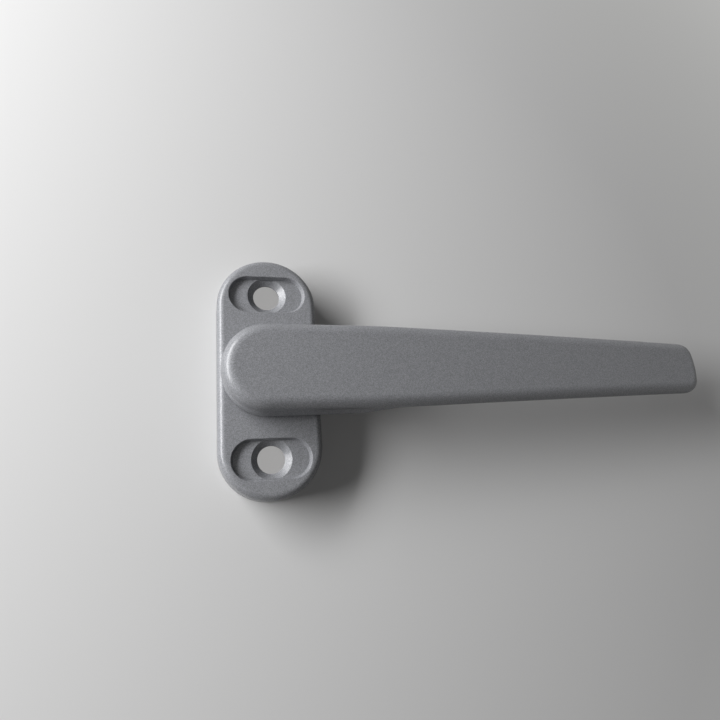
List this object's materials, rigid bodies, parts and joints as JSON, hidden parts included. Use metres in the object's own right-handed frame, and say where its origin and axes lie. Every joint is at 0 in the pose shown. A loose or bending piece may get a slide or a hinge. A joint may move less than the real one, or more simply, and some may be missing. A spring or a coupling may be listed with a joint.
{
  "type": "folding door handle",
  "caption": "Flat tapering lever on an obround base plate with recessed countersunk screw holes; it turns about an axis square to the plate to work a folding door's lock.",
  "frame": {"origin": "middle of the plate's back face, on the axis that the lever turns about and midway between the screw holes", "axes": "+Z out of the door, +X along the lever in its rest pose, +Y towards the upper screw hole"},
  "size_m": [0.1458, 0.063, 0.0185],
  "materials": {
    "silver_coat": "fine-textured silver-grey metallic powder coat, semi-matt",
    "bush_plastic": "black moulded acetal",
    "spring_steel": "hard rolled spring steel",
    "works_steel": "sintered and stamped steel, bare",
    "plated_steel": "zinc-plated sheet steel"
  },
  "bodies": {
    "base": {"base_plate": "silver_coat", "bearing_bush": "bush_plastic", "leaf_spring_upper": "spring_steel", "leaf_spring_lower": "spring_steel", "stop_pin_upper": "works_steel", "stop_pin_lower": "works_steel", "back_cover": "plated_steel", "cover_rivet_upper": "plated_steel", "cover_rivet_lower": "plated_steel"},
    "lever_body": {"lever": "silver_coat", "index_cam": "works_steel", "stop_washer": "works_steel", "retaining_ring": "spring_steel", "wave_washer": "spring_steel"}
  },
  "joints": [
    {"name": "lever_turn", "type": "hinge", "parent": "base", "child": "lever_body", "pos_m": [0, 0, 0.009], "axis": [0, 0, 1], "range_deg": [-90, 90], "deforming": ["leaf_spring_upper", "leaf_spring_lower"]}
  ]
}
